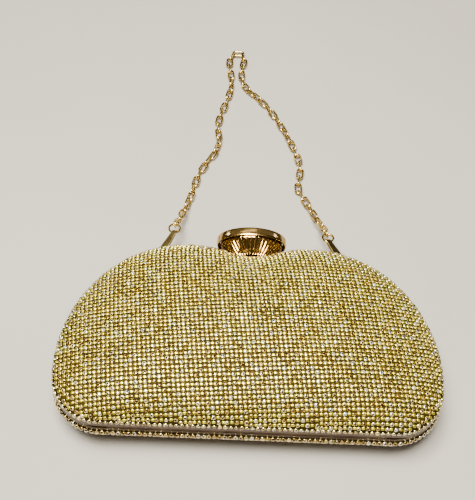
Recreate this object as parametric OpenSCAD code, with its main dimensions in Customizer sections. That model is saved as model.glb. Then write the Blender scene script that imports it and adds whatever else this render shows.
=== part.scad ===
// Minaudiere: a hard evening clutch of two domed shells under a skin of crystal mesh,
// with an oval knob clasp on its upper edge and a short chain handle.
// It lies on its back. X is its width, Y runs from the hinge edge to the clasp edge
// and Z is up. The origin is the middle of the flat crown that it rests on.

/* [Outline] */
// Straight length of the hinge edge
hinge_edge_l = 154; // [144:1:164]
// Radius of the frame's two lower corners
corner_r = 26.6; // [24:0.2:30]
// Angle that each lower corner turns through
corner_turn = 82; // [80:1:84]
// Radius of the frame's two side arcs
side_r = 81.6; // [76:0.2:88]
// Angle that each side arc turns through
side_turn = 52; // [50:1:54]
// Radius of the frame's two shoulders
shoulder_r = 63.2; // [58:0.2:68]
// Radius of the dip between the shoulders
dip_r = 36.8; // [33:0.2:40]

/* [Shells] */
// Height of the rear dome above its frame
rear_dome_h = 20; // [18:0.5:24]
// Height of the front dome above its frame
front_dome_h = 19.5; // [18:0.5:24]
// Thickness of the crystal mesh skin
mesh_t = 1.5; // [1.2:0.1:1.8]
// How far the mesh stands proud of the frame's edge
mesh_proud = 0.9; // [0.6:0.1:1.2]
// Height of the studs that give the mesh its relief
stud_rise = 0.5; // [0.3:0.05:0.6]
// Wall of each shell
shell_t = 1.1; // [0.8:0.1:1.3]
// Thickness of each lining
lining_t = 0.8; // [0.5:0.1:1]

/* [Frame] */
// Height of one frame band
band_h = 5; // [4.6:0.1:5.6]
// Thickness of a band's outer wall
wall_t = 1.2; // [1:0.1:1.4]
// Width of the shelf that the shell's rim sits on
shelf_w = 3; // [2.8:0.1:3.4]
// Thickness of that shelf
shelf_t = 1; // [0.8:0.1:1.1]
// Gap between the closed frames
seam_gap = 0.2; // [0.1:0.05:0.3]

/* [Hinge] */
// Radius of the hinge barrel
barrel_r = 1.25; // [1.1:0.05:1.4]
// Distance of the barrel's ends from the ends of the straight hinge edge
barrel_in = 4; // [3:0.5:12]
// Number of knuckles
knuckle_count = 7; // [5:2:9]
// Diameter of the hinge pin
hinge_pin_d = 1.3; // [1:0.1:1.4]

/* [Clasp] */
// Width of the oval knob
knob_w = 41.2; // [36:0.2:44]
// Depth of the oval knob
knob_d = 27.4; // [24:0.2:32]
// Height of the polished rim
rim_h = 5.4; // [4.4:0.2:6]
// Height of the fluted cone below the rim
cone_h = 8.9; // [8:0.1:11]
// Clear height between the frame's dip and the cone
knob_lift = 2.5; // [1.8:0.1:3]
// Number of flutes round the cone
flute_count = 36; // [24:1:40]
// Diameter of the stem
stem_d = 4; // [3.4:0.1:4.4]
// Diameter of the clasp's pivot pin
clasp_pin_d = 1.4; // [1.2:0.1:1.6]

/* [Chain] */
// Distance of each chain lug from the middle
lug_x = 53; // [48:0.5:58]
// Length of a bail between its two holes
bail_l = 17; // [15:0.5:19]
// Thickness of the wire of a chain link
link_wire = 1.35; // [1.2:0.05:1.4]
// Outer length of a chain link
link_l = 9.2; // [8.8:0.1:9.8]
// Outer width of a chain link
link_w = 5.1; // [4.9:0.1:5.4]
// Outer diameter of a jump ring
ring_d = 8; // [7.6:0.1:8.6]
// Thickness of a jump ring's wire
ring_wire = 1.3; // [1.1:0.05:1.4]
// How far the laid chain reaches behind the lugs
chain_reach = 187; // [180:1:196]

/* [Hidden] */

// Clearances and cuts
overrun = 1;
running_gap = 0.05;
seat_gap = 0.02;
free_gap = 0.3;

// Colours
gold = "goldenrod";
mesh_gold = "darkkhaki";
frame_gold = "rosybrown";
cloth = "wheat";
steel = "silver";

// Heights of the seam and of the crowns
rear_h = rear_dome_h + band_h;
seam_z = rear_h;
rear_crown_share = 0.3;
front_crown_share = 0.12;
rear_dome_power = 2.25;
front_dome_power = 1.95;
dome_rings = 8;
stud_tip_share = 0.5;

// Centres of the outline's arcs, from the middle of the hinge edge
shoulder_start = corner_turn + side_turn;
corner_c = [hinge_edge_l / 2, corner_r];
side_c = corner_c + (corner_r - side_r) * [sin(corner_turn), -cos(corner_turn)];
shoulder_c = side_c + (side_r - shoulder_r) * [sin(shoulder_start), -cos(shoulder_start)];
dip_turn = asin(shoulder_c.x / (shoulder_r + dip_r));
dip_c = [0, shoulder_c.y + (shoulder_r + dip_r) * cos(dip_turn)];
body_h = shoulder_c.y + shoulder_r;
mid = [0, body_h / 2];

// Edges of the frame on the middle line
hinge_y = -mid.y;
dip_y = dip_c.y - dip_r - mid.y;

// Points of an arc round c whose heading turns from a to b, without the last one
function arc(c, r, a, b, n) =
    [for (i = [0 : n - 1]) let (t = a + (b - a) * i / n) c + r * [sin(t), -cos(t)] - mid];

// Right half of the outline, moved outwards by o, with m times the plain number of points
function half_outline(o, m) = concat(
    [for (i = [0 : 6 * m - 1]) [corner_c.x * i / (6 * m), -o] - mid],
    arc(corner_c, corner_r + o, 0, corner_turn, 6 * m),
    arc(side_c, side_r + o, corner_turn, shoulder_start, 6 * m),
    arc(shoulder_c, shoulder_r + o, shoulder_start, 180 + dip_turn, 7 * m),
    arc(dip_c, o - dip_r, 180 + dip_turn, 180, 3 * m),
    [dip_c + [0, o - dip_r] - mid]);

// Whole outline, anticlockwise
function outline(o, m = 1) = let (h = half_outline(o, m), n = len(h))
    concat(h, [for (i = [n - 2 : -1 : 1]) [-h[i].x, h[i].y]]);

// Height of the shoulder arc, moved outwards by o, at a distance x from the middle
function shoulder_y(x, o) =
    shoulder_c.y - mid.y + sqrt((shoulder_r + o) ^ 2 - (x - shoulder_c.x) ^ 2);

// Ring k of a dome: its plan, drawn in towards the middle as it rises
function dome_ring(plan, h, power, crown, k) = let (
        last = acos(crown ^ (power / 2)),
        a = last * k / dome_rings,
        s = cos(a) ^ (2 / power),
        z = h * (sin(a) / sin(last)) ^ (2 / power))
    [for (p = plan) [p.x * s, p.y * s, z]];

// All rings of a dome over the outline moved by o
function dome_points(o, h, power, crown) = let (plan = outline(o))
    [for (k = [0 : dome_rings]) each dome_ring(plan, h, power, crown, k)];

// Two triangles of a strip of n columns between rings that start at a and at b
function strip(a, b, n) = [for (i = [0 : n - 1]) let (j = (i + 1) % n)
    each [[a + i, b + i, b + j], [a + i, b + j, a + j]]];

// Four triangles from each cell between rings that start at a and at b to the cell's tip
function studs(a, b, tip, n) = [for (i = [0 : n - 1]) let (j = (i + 1) % n)
    each [[a + i, b + i, tip + i], [b + i, b + j, tip + i],
        [b + j, a + j, tip + i], [a + j, a + i, tip + i]]];

// A layer's inner face, its rim and its two crowns, for rings of n points
function inner_faces(n) = let (first = (dome_rings + 1) * n, last = dome_rings * n) concat(
    [for (k = [0 : dome_rings - 1]) each strip(first + (k + 1) * n, first + k * n, n)],
    strip(first, 0, n),
    [for (i = [0 : n - 1]) [last + i, 2 * first, last + (i + 1) % n]],
    [for (i = [0 : n - 1]) [first + last + (i + 1) % n, 2 * first + 1, first + last + i]]);

// One domed layer of thickness t, whose outer face is the outline moved by o
module dome_layer(o, t, h, power, crown) {
    n = len(outline(o));
    polyhedron(concat(dome_points(o, h, power, crown), dome_points(o - t, h - t, power, crown),
        [[0, 0, h], [0, 0, h - t]]), concat(
        [for (k = [0 : dome_rings - 1]) each strip(k * n, (k + 1) * n, n)],
        inner_faces(n)));
}

// The same layer in low studs: their tips reach its outer face and their edges lie deeper
module studded_layer(o, t, h, power, crown) {
    plan = outline(o);
    n = len(plan);
    cells = [for (i = [0 : n - 1]) (plan[i] + plan[(i + 1) % n]) / 2];
    deep_plan = outline(o - stud_rise);
    first_tip = 2 * (dome_rings + 1) * n + 2;
    polyhedron(concat(
        [for (k = [0 : dome_rings - 1]) each dome_ring(deep_plan, h - stud_rise, power, crown, k)],
        dome_ring(plan, h, power, crown, dome_rings),
        dome_points(o - t, h - t, power, crown), [[0, 0, h], [0, 0, h - t]],
        [for (k = [0 : dome_rings - 1]) each dome_ring(cells, h, power, crown, k + stud_tip_share)]),
        concat([for (k = [0 : dome_rings - 1]) each studs(k * n, (k + 1) * n, first_tip + k * n, n)],
            inner_faces(n)));
}

// Places a rear or a front layer against its frame
module rear_side() {
    translate([0, 0, seam_z - band_h]) mirror([0, 0, 1]) children();
}
module front_side() {
    translate([0, 0, seam_z + band_h]) children();
}

// Faces of the layers, as steps in from the frame's edge
mesh_in = mesh_proud - mesh_t;
shell_in = mesh_in - shell_t;

module rear_crystal_mesh() {
    color(mesh_gold) rear_side()
        studded_layer(mesh_proud, mesh_t, rear_dome_h, rear_dome_power, rear_crown_share);
}

module rear_shell() {
    color(frame_gold) rear_side()
        dome_layer(mesh_in, shell_t, rear_dome_h - mesh_t, rear_dome_power, rear_crown_share);
}

module rear_lining() {
    color(cloth) rear_side()
        dome_layer(shell_in, lining_t, rear_dome_h - mesh_t - shell_t, rear_dome_power,
            rear_crown_share);
}

module front_crystal_mesh() {
    color(mesh_gold) front_side()
        studded_layer(mesh_proud, mesh_t, front_dome_h, front_dome_power, front_crown_share);
}

module front_shell() {
    color(frame_gold) front_side()
        dome_layer(mesh_in, shell_t, front_dome_h - mesh_t, front_dome_power, front_crown_share);
}

module front_lining() {
    color(cloth) front_side()
        dome_layer(shell_in, lining_t, front_dome_h - mesh_t - shell_t, front_dome_power,
            front_crown_share);
}

// Hinge: the barrel lies flush in the hinge edge, with its axis in the seam
hinge_axis_y = hinge_y + barrel_r;
barrel_clear_r = barrel_r + free_gap;
leaf_t = 0.9;
barrel_l = hinge_edge_l - 2 * barrel_in;
knuckle_l = barrel_l / knuckle_count;
frame_fineness = 3;

// Room that lets the frames turn past each other: a wedge at 45 degrees and the barrel's bed
module hinge_room() {
    reach = barrel_r + mesh_proud;
    half_w = corner_c.x + corner_r;
    translate([-half_w, hinge_axis_y, seam_z]) rotate([90, 0, 90])
        linear_extrude(2 * half_w) polygon([[0, 0], [-reach, reach], [-reach, -reach]]);
    translate([-barrel_l / 2 - free_gap, hinge_axis_y, seam_z]) rotate([0, 90, 0])
        cylinder(r = barrel_clear_r, h = barrel_l + 2 * free_gap, $fn = 48);
}

// Stem's way through a band, d deep
module stem_notch(d) {
    w = stem_d + 2 * free_gap;
    translate([-w / 2, dip_y - wall_t - overrun, 0]) cube([w, wall_t + 2 * overrun, d]);
}

// One band with its shelf, as if it stood on the seam
module band() {
    low = seam_gap / 2;
    difference() {
        translate([0, 0, low]) linear_extrude(band_h - low)
            polygon(outline(0, frame_fineness));
        translate([0, 0, -overrun]) linear_extrude(band_h - shelf_t + overrun)
            polygon(outline(-wall_t, frame_fineness));
        translate([0, 0, -overrun]) linear_extrude(band_h + 2 * overrun)
            polygon(outline(-shelf_w, frame_fineness));
    }
}

// Depths of the stem's notches: the knob tilts back over the rear band
swing_room = 1.5;
rest_room = 0.5;
rear_notch = stem_d / 2 + swing_room;
front_notch = stem_d / 2 + rest_room;

module rear_frame() {
    color(frame_gold) difference() {
        translate([0, 0, seam_z]) mirror([0, 0, 1]) band();
        hinge_room();
        translate([0, 0, seam_z - rear_notch]) stem_notch(rear_notch + overrun);
        translate([0, 0, seam_z - band_h]) rivet_holes(band_h);
        lug_feet(seat_gap);
    }
}

module front_frame() {
    color(frame_gold) difference() {
        translate([0, 0, seam_z]) band();
        hinge_room();
        translate([0, 0, seam_z - overrun]) stem_notch(front_notch + overrun);
        translate([0, 0, seam_z]) rivet_holes(band_h);
    }
}

// One knuckle: a drilled barrel with a leaf against the band's inner face, up or down
module knuckle(i, side) {
    l = knuckle_l - free_gap;
    leaf_h = band_h - shelf_t;
    translate([-barrel_l / 2 + i * knuckle_l + free_gap / 2, hinge_axis_y, seam_z])
        difference() {
            union() {
                rotate([0, 90, 0]) cylinder(r = barrel_r, h = l, $fn = 48);
                translate([0, wall_t - barrel_r, side < 0 ? -leaf_h : 0])
                    cube([l, leaf_t, leaf_h]);
            }
            translate([-overrun, 0, 0]) rotate([0, 90, 0])
                cylinder(d = hinge_pin_d + 2 * running_gap, h = l + 2 * overrun, $fn = 32);
        }
}

module rear_hinge_knuckles() {
    color(frame_gold) for (i = [0 : 2 : knuckle_count - 1]) knuckle(i, -1);
}

module front_hinge_knuckles() {
    color(frame_gold) for (i = [1 : 2 : knuckle_count - 2]) knuckle(i, 1);
}

module hinge_pin() {
    l = barrel_l - free_gap;
    color(steel) translate([-l / 2, hinge_axis_y, seam_z]) rotate([0, 90, 0])
        cylinder(d = hinge_pin_d, h = l, $fn = 32);
}

// Chain lugs: an eye on a foot that is let into the rear band
lug_t = 1.4;
lug_eye_r = 1.7;
lug_foot_w = 3.2;
lug_foot_h = 3.6;
lug_foot_t = 0.6;
lug_z = seam_z - band_h / 2;
lug_reach = 2.7;
lug_y = shoulder_y(lug_x, 0) + lug_reach;
bail_pin_d = 1.5;

// Recess or foot at both shoulders, larger all round by g
module lug_feet(g) {
    for (s = [-1, 1])
        translate([s * lug_x - lug_foot_w / 2 - g, lug_y - lug_reach - lug_foot_t - g,
                lug_z - lug_foot_h / 2 - g])
            cube([lug_foot_w + 2 * g, lug_foot_t + g + overrun, lug_foot_h + 2 * g]);
}

module lug(s) {
    foot_y = lug_y - lug_reach - lug_foot_t;
    difference() {
        union() {
            translate([s * lug_x - lug_foot_w / 2, foot_y, lug_z - lug_foot_h / 2])
                cube([lug_foot_w, lug_foot_t, lug_foot_h]);
            translate([s * lug_x - lug_t / 2, foot_y, lug_z - lug_eye_r])
                cube([lug_t, lug_y - foot_y, 2 * lug_eye_r]);
            translate([s * lug_x - lug_t / 2, lug_y, lug_z]) rotate([0, 90, 0])
                cylinder(r = lug_eye_r, h = lug_t, $fn = 48);
        }
        translate([s * lug_x - lug_t, lug_y, lug_z]) rotate([0, 90, 0])
            cylinder(d = bail_pin_d + 2 * running_gap, h = 2 * lug_t, $fn = 32);
    }
}

module lug_left() {
    color(gold) lug(-1);
}

module lug_right() {
    color(gold) lug(1);
}

// Clasp: the lever turns on a pin inside the rear half, and its stem carries the knob
pivot_in = 6.3;
pivot_drop = 6;
pivot_y = dip_y - pivot_in;
pivot_z = seam_z - pivot_drop;
lever_w = 6;
hub_r = 2.3;
ear_x = 5;
ear_t = 1.2;
plate_t = 1.1;
plate_half_w = 9;
plate_l = 9;
bracket_bar_w = 1.2;
rivet_d = 1;
rivet_x = 7.4;
rivet_head_d = 1.8;
rivet_head_t = 0.5;
rivet_in = 0.35;
rivet_y = dip_y - wall_t - rivet_in;
knob_y = dip_y + knob_lift;
lever_in = 3.9;
lever_top_y = dip_y - lever_in;

// Plate under a shelf: it follows the band's inner face and is open in the middle
module shelf_plate(l, slot_half_w, bar_l) {
    intersection() {
        difference() {
            translate([-plate_half_w, dip_y - l, 0]) cube([2 * plate_half_w, l + overrun, plate_t]);
            translate([-slot_half_w, dip_y - l + bar_l, -overrun])
                cube([2 * slot_half_w, l + overrun, plate_t + 2 * overrun]);
            rivet_holes(plate_t);
        }
        linear_extrude(plate_t) polygon(outline(-wall_t - seat_gap, frame_fineness));
    }
}

module rivet_places() {
    for (s = [-1, 1]) translate([s * rivet_x, rivet_y, 0]) children();
}

module rivet_holes(l) {
    rivet_places() translate([0, 0, -overrun])
        cylinder(d = rivet_d, h = l + 2 * overrun, $fn = 32);
}

// Rivets through a plate and its shelf, pointing up
module rivets() {
    rivet_places() {
        cylinder(d = rivet_d - seat_gap, h = plate_t + shelf_t, $fn = 32);
        translate([0, 0, -rivet_head_t]) cylinder(d = rivet_head_d, h = rivet_head_t, $fn = 32);
    }
}

rear_plate_z = seam_z - band_h + shelf_t;
catch_plate_z = seam_z + band_h - shelf_t - plate_t;

module ear_profile() {
    top = plate_t;
    polygon([[pivot_y - hub_r, top], [dip_y - shelf_w - free_gap, top],
        [dip_y - shelf_w - free_gap, 0], [pivot_y + hub_r, -hub_r - plate_t],
        [pivot_y, pivot_z - rear_plate_z - hub_r], [pivot_y - hub_r, pivot_z - rear_plate_z]]);
}

module clasp_bracket() {
    color(steel) difference() {
        union() {
            translate([0, 0, rear_plate_z]) shelf_plate(plate_l, ear_x, bracket_bar_w);
            for (x = [-ear_x - ear_t, ear_x])
                translate([x, 0, rear_plate_z]) rotate([90, 0, 90])
                    linear_extrude(ear_t) ear_profile();
        }
        translate([-plate_half_w, pivot_y, pivot_z]) rotate([0, 90, 0])
            cylinder(d = clasp_pin_d + seat_gap, h = 2 * plate_half_w, $fn = 32);
    }
}

module clasp_bracket_rivets() {
    color(gold) translate([0, 0, rear_plate_z + plate_t]) mirror([0, 0, 1]) rivets();
}

module clasp_pin() {
    l = 2 * (ear_x + ear_t);
    color(steel) translate([-l / 2, pivot_y, pivot_z]) rotate([0, 90, 0])
        cylinder(d = clasp_pin_d, h = l, $fn = 32);
}

// Spring: a helix round the pin beside the lever, with one leg to each piece
spring_wire = 0.4;
spring_r = 1.5;
spring_turns = 2;
spring_steps = 14;
spring_sides = 6;
spring_leg = 1.7;
spring_x = lever_w / 2 + free_gap;
spring_turn_gap = 0.1;
spring_pitch = spring_wire + spring_turn_gap;

// Route of the spring's wire: a leg, the turns and the other leg, round the X axis
function spring_route() = let (n = spring_turns * spring_steps) concat(
    [[spring_wire / 2, -spring_r, spring_leg]],
    [for (i = [0 : n]) let (a = 180 + 360 * i / spring_steps)
        [spring_wire / 2 + spring_pitch * i / spring_steps, spring_r * cos(a),
            -spring_r * sin(a)]],
    [[spring_wire / 2 + spring_pitch * spring_turns, -spring_r, -spring_leg]]);

// Ring of points square to the route at point i
function wire_ring(p, i, r, n) = let (
        d = p[min(i + 1, len(p) - 1)] - p[max(i - 1, 0)],
        t = d / norm(d),
        u0 = [1, 0, 0] - t.x * t,
        u = u0 / norm(u0),
        v = cross(t, u))
    [for (k = [0 : n - 1]) let (a = 360 * k / n) p[i] + r * (cos(a) * u + sin(a) * v)];

module wire(p, d, n) {
    m = len(p);
    polyhedron([for (i = [0 : m - 1]) each wire_ring(p, i, d / 2, n)], concat(
        [for (i = [0 : m - 2]) each strip(i * n, (i + 1) * n, n)],
        [[for (k = [0 : n - 1]) k]],
        [[for (k = [n - 1 : -1 : 0]) (m - 1) * n + k]]));
}

module clasp_spring() {
    color(steel) translate([spring_x, pivot_y, pivot_z])
        wire(spring_route(), spring_wire, spring_sides);
}

// Side view of the lever: hub, upright and the nose that holds the catch
nose_gap = 0.3;
nose_t = 1.7;
nose_top = 4.1;
catch_bar_t = 2;
catch_bar_drop = 5;
lever_back_y = dip_y - plate_l + catch_bar_t + nose_gap;

module latch_lever() {
    color(steel) translate([-lever_w / 2, 0, 0]) difference() {
        union() {
            translate([0, pivot_y, pivot_z]) rotate([0, 90, 0])
                cylinder(r = hub_r, h = lever_w, $fn = 48);
            rotate([90, 0, 90]) linear_extrude(lever_w) polygon([
                [pivot_y - hub_r / 2, pivot_z], [lever_back_y, seam_z - stem_d / 2],
                [lever_back_y, seam_z + nose_top], [lever_back_y + nose_t, seam_z + nose_top],
                [lever_back_y + nose_t, seam_z + stem_d / 2 + free_gap],
                [lever_top_y, seam_z + stem_d / 2 + free_gap],
                [lever_top_y, seam_z - stem_d / 2], [pivot_y + hub_r / 2, pivot_z]]);
        }
        translate([-overrun, pivot_y, pivot_z]) rotate([0, 90, 0])
            cylinder(d = clasp_pin_d + 2 * running_gap, h = lever_w + 2 * overrun, $fn = 32);
    }
}

// Catch: a bar on the lid that stands just behind the lever's nose
module catch_plate() {
    bar_h = plate_t + catch_bar_drop;
    color(steel) union() {
        translate([0, 0, catch_plate_z]) shelf_plate(plate_l, ear_x, catch_bar_t);
        translate([-plate_half_w, dip_y - plate_l, catch_plate_z + plate_t - bar_h])
            cube([2 * plate_half_w, catch_bar_t, bar_h]);
    }
}

module catch_plate_rivets() {
    color(gold) translate([0, 0, catch_plate_z]) rivets();
}

module knob_stem() {
    collar_w = 1.5;
    collar_h = 0.8;
    color(gold) translate([0, lever_top_y, seam_z]) rotate([-90, 0, 0]) {
        cylinder(d = stem_d, h = knob_y - lever_top_y, $fn = 48);
        translate([0, 0, knob_y - lever_top_y - collar_h])
            cylinder(d = stem_d + 2 * collar_w, h = collar_h, $fn = 48);
    }
}

// Oval ring, drawn in by g from the knob's edge, at height z; with flutes f deep
function oval_ring(g, z, n, f = 0) = [for (i = [0 : n - 1]) let (
        a = 360 * i / n,
        cut = f * (1 - cos(flute_count * a)) / 2)
    [(knob_w / 2 - g - cut) * cos(a), (knob_d / 2 - (g + cut) * knob_d / knob_w) * sin(a), z]];

// Solid through rings of n points each, with flat ends
module ring_solid(rings, n) {
    m = len(rings);
    polyhedron([for (r = rings) each r], concat(
        [for (i = [0 : m - 2]) each strip(i * n, (i + 1) * n, n)],
        [[for (k = [0 : n - 1]) k]],
        [[for (k = [n - 1 : -1 : 0]) (m - 1) * n + k]]));
}

// The same, closed on itself like a tyre
module ring_band(rings, n) {
    m = len(rings);
    polyhedron([for (r = rings) each r],
        [for (i = [0 : m - 1]) each strip(i * n, ((i + 1) % m) * n, n)]);
}

// The knob's pieces are drawn with their axis up, and laid along Y from the cone's foot
module knob_place() {
    translate([0, knob_y, seam_z]) rotate([-90, 0, 0]) children();
}

rim_wall = 2.2;
knob_wall = 1;
rim_sides = 48;
flute_depth = 0.5;
cone_neck = 1.8;

module knob_rim() {
    profile_shares = [[1, 0], [0.7, 0], [0.25, 0.16], [0, 0.36], [0, 0.88], [0.25, 1], [1, 1]];
    color(gold) knob_place() translate([0, 0, cone_h]) ring_band(
        [for (p = profile_shares) oval_ring(rim_wall * p[0], rim_h * p[1], rim_sides)],
        rim_sides);
}

// The cone is a cup that flares from its foot to the rim, and its neck stands in the rim
module knob_cone() {
    n = 4 * flute_count;
    foot_in = 10.7;
    inside = rim_wall + free_gap;
    flare = foot_in - inside;
    floor_t = 1.6;
    flare_shares = [[0, 1], [0.26, 0.72], [0.52, 0.46], [0.78, 0.2], [0.96, 0.02]];
    color(gold) knob_place() ring_solid(concat(
        [for (p = flare_shares) oval_ring(inside + flare * p[1], cone_h * p[0], n, flute_depth)],
        [oval_ring(inside, cone_h, n), oval_ring(inside, cone_h + cone_neck, n),
            oval_ring(inside + knob_wall, cone_h + cone_neck, n),
            oval_ring(inside + knob_wall, cone_h, n),
            oval_ring(foot_in + knob_wall / 2, floor_t, n)]), n);
}

// Low dome that closes the top of the knob, hollow underneath
module knob_cap() {
    rise = 2.4;
    seat = rim_h - cone_neck;
    dome_steps = 5;
    dome_turn = 80;
    edge = rim_wall + seat_gap;
    half_w = knob_w / 2 - edge;
    color(gold) knob_place() translate([0, 0, cone_h + cone_neck]) ring_solid(concat(
        [oval_ring(edge + half_w / 2, seat + rise / 2, rim_sides),
            oval_ring(edge + knob_wall, seat, rim_sides),
            oval_ring(edge + knob_wall, 0, rim_sides), oval_ring(edge, 0, rim_sides)],
        [for (k = [0 : dome_steps]) let (a = dome_turn * k / dome_steps)
            oval_ring(edge + half_w * (1 - cos(a)), seat + rise * sin(a), rim_sides)]),
        rim_sides);
}

// Bail: a folded strip that tapers from the lug's pin to the jump ring
bail_lean = 22;
bail_fold_r = 1.45;
bail_hole_r = 0.75;
bail_foot_w = 4.8;
bail_tip_w = 2.2;
bail_slot_w = lug_t + 2 * free_gap;
bail_drop_left = 6;
bail_drop_right = 14;
bail_run = bail_l * cos(bail_lean);
bail_shift = bail_l * sin(bail_lean);

// Side view of the strip, as wide as r on each side of the two holes
module bail_side(r) {
    translate([0, 0]) circle(r = r, $fn = 48);
    translate([bail_run, 0]) circle(r = r, $fn = 48);
    translate([0, -r]) square([bail_run, 2 * r]);
}

module bail(s, drop) {
    reach = bail_fold_r + overrun;
    lean = -s * bail_shift * (1 + reach / bail_run);
    translate([s * lug_x, lug_y, lug_z]) rotate([-drop, 0, 0]) difference() {
        intersection() {
            translate([-bail_l, 0, 0]) rotate([90, 0, 90]) linear_extrude(2 * bail_l)
                difference() {
                    bail_side(bail_fold_r);
                    bail_side(bail_hole_r);
                }
            translate([0, 0, -reach]) linear_extrude(2 * reach) polygon([
                [-bail_foot_w / 2, -reach], [bail_foot_w / 2, -reach],
                [bail_foot_w / 2, 0], [lean + bail_tip_w / 2, bail_run + reach],
                [lean - bail_tip_w / 2, bail_run + reach], [-bail_foot_w / 2, 0]]);
        }
        translate([-bail_slot_w / 2, -reach, -reach])
            cube([bail_slot_w, reach + lug_eye_r + free_gap, 2 * reach]);
    }
}

module bail_left() {
    color(gold) bail(-1, bail_drop_left);
}

module bail_right() {
    color(gold) bail(1, bail_drop_right);
}

module bail_pins() {
    color(gold) for (s = [-1, 1])
        translate([s * lug_x - bail_foot_w / 2, lug_y, lug_z]) rotate([0, 90, 0])
            cylinder(d = bail_pin_d - seat_gap, h = bail_foot_w, $fn = 32);
}

// Jump rings lie in the plane of their bails
ring_r = (ring_d - ring_wire) / 2;
ring_back = 0.25;

// Point of a bail's own frame, as it lies
function at_bail(s, drop, p) = [s * lug_x + p.x, lug_y + p.y * cos(drop) + p.z * sin(drop),
    lug_z - p.y * sin(drop) + p.z * cos(drop)];
function ring_c(s, drop) = at_bail(s, drop, [-s * bail_shift, bail_run - ring_back + ring_r, 0]);

module jump_ring(s, drop) {
    translate(ring_c(s, drop)) rotate([-drop, 0, 0])
        rotate_extrude($fn = 64) translate([ring_r, 0]) circle(d = ring_wire, $fn = 32);
}

module jump_ring_left() {
    color(gold) jump_ring(-1, bail_drop_left);
}

module jump_ring_right() {
    color(gold) jump_ring(1, bail_drop_right);
}

// Route of the chain from each ring to the top of its bunch. X is a share of the lug's
// distance from the middle, Y a share of the chain's reach behind the lugs, and Z a share
// of the drop from the lugs to the laid chain.
left_run_shares = [[-0.85, 0.165, 0.5], [-0.81, 0.22, 0.2], [-0.76, 0.28, 0.03],
    [-0.72, 0.33, 0], [-0.66, 0.4, 0], [-0.56, 0.46, 0], [-0.46, 0.51, 0],
    [-0.43, 0.56, 0], [-0.46, 0.62, 0], [-0.43, 0.68, 0], [-0.37, 0.74, 0],
    [-0.32, 0.8, 0], [-0.31, 0.86, 0], [-0.34, 0.92, 0], [-0.35, 0.96, 0],
    [-0.28, 1, 0]];
right_run_shares = [[0.85, 0.145, 0.56], [0.8, 0.2, 0.24], [0.73, 0.255, 0.04],
    [0.64, 0.31, 0], [0.57, 0.35, 0], [0.58, 0.395, 0], [0.6, 0.44, 0], [0.56, 0.5, 0],
    [0.48, 0.56, 0], [0.38, 0.625, 0], [0.26, 0.69, 0], [0.13, 0.745, 0],
    [-0.02, 0.79, 0], [-0.14, 0.83, 0], [-0.18, 0.88, 0], [-0.17, 0.93, 0],
    [-0.15, 0.965, 0], [-0.19, 1, 0]];

link_play = 0.2;
link_bend_r = (link_w - link_wire) / 2;
link_straight = link_l - link_w;
link_pitch = link_l - 2 * link_wire - link_play;
link_shift = (link_l - link_wire - link_pitch) / 2;
floor_gap = 0.2;
lie_z = link_w / 2 + floor_gap;

function place(p) =
    [p.x * lug_x, lug_y + p.y * chain_reach, lie_z + p.z * (lug_z - lie_z)];
function unit(v) = v / norm(v);

// Start of a run: the tip of its first link, just inside the ring's wire
function ring_joint(s, drop, next) = let (
        c = ring_c(s, drop),
        n = [0, sin(drop), cos(drop)],
        d = next - c,
        w = c + ring_r * unit(d - (d * n) * n))
    w - (ring_wire + link_wire + link_play) / 2 * unit(next - w);

// Smooth curve through points, k steps from each to the next
function curve(p, k) = let (n = len(p)) concat(
    [for (i = [0 : n - 2], j = [0 : k - 1]) let (
            t = j / k,
            a = p[max(i - 1, 0)],
            b = p[i],
            c = p[i + 1],
            d = p[min(i + 2, n - 1)])
        (2 * b + (c - a) * t + (2 * a - 5 * b + 4 * c - d) * t ^ 2
            + (3 * b - a - 3 * c + d) * t ^ 3) / 2],
    [p[n - 1]]);

// Distances along a line of points, and the point at a distance
function along(p) = [for (i = 0, s = 0; i < len(p);
    s = s + norm(p[min(i + 1, len(p) - 1)] - p[i]), i = i + 1) s];
function point_at(s, far, p) =
    [for (a = [0 : 2]) lookup(s, [for (i = [0 : len(p) - 1]) [far[i], p[i][a]]])];

// Links along a run, each as its two ends and its roll. Neighbours stand square to each
// other, and a run twists slowly along its length, so that the links at both its ends stand
// upright: in the ring, and in the flat link at the top. An upright link follows the run
// from tip to tip, and a flat one from bend to bend, so that it can turn in its neighbours.
function run_links(p) = let (
        c = curve(p, 6),
        far = along(c),
        total = far[len(far) - 1] - 2 * link_shift,
        n = ceil(total / link_pitch),
        step = total / n,
        waves = n % 2 == 0 ? 3 : 2)
    [for (k = [0 : n - 1]) let (
            s = link_shift + step * (k + 1 / 2),
            roll = 90 * (k + 1) + 45 * (1 - cos(180 * waves * k / (n - 1))),
            half = step / 2 - link_shift * cos(2 * roll))
        [point_at(s - half, far, c), point_at(s + half, far, c), roll]];

left_run = [for (p = left_run_shares) place(p)];
right_run = [for (p = right_run_shares) place(p)];
left_links = run_links(concat([ring_joint(-1, bail_drop_left, left_run[0])], left_run));
right_links = run_links(concat([ring_joint(1, bail_drop_right, right_run[0])], right_run));

module link() {
    for (s = [-1, 1]) {
        translate([s * link_straight / 2, 0, 0]) rotate([0, 0, -90 * s])
            rotate_extrude(angle = 180, $fn = 48)
                translate([link_bend_r, 0]) circle(d = link_wire, $fn = 24);
        translate([-link_straight / 2, s * link_bend_r, 0]) rotate([0, 90, 0])
            cylinder(d = link_wire, h = link_straight, $fn = 24);
    }
}

// One link from a to b, turned about its own length
module link_between(a, b, roll) {
    d = b - a;
    translate(a + d / 2) rotate([0, -asin(d.z / norm(d)), atan2(d.y, d.x)])
        rotate([roll, 0, 0]) link();
}

module chain_links_left() {
    color(gold) for (l = left_links) link_between(l[0], l[1], l[2]);
}

module chain_links_right() {
    color(gold) for (l = right_links) link_between(l[0], l[1], l[2]);
}

module chain_top_link() {
    color(gold) link_between(left_links[len(left_links) - 1][1],
        right_links[len(right_links) - 1][1], 0);
}

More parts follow.
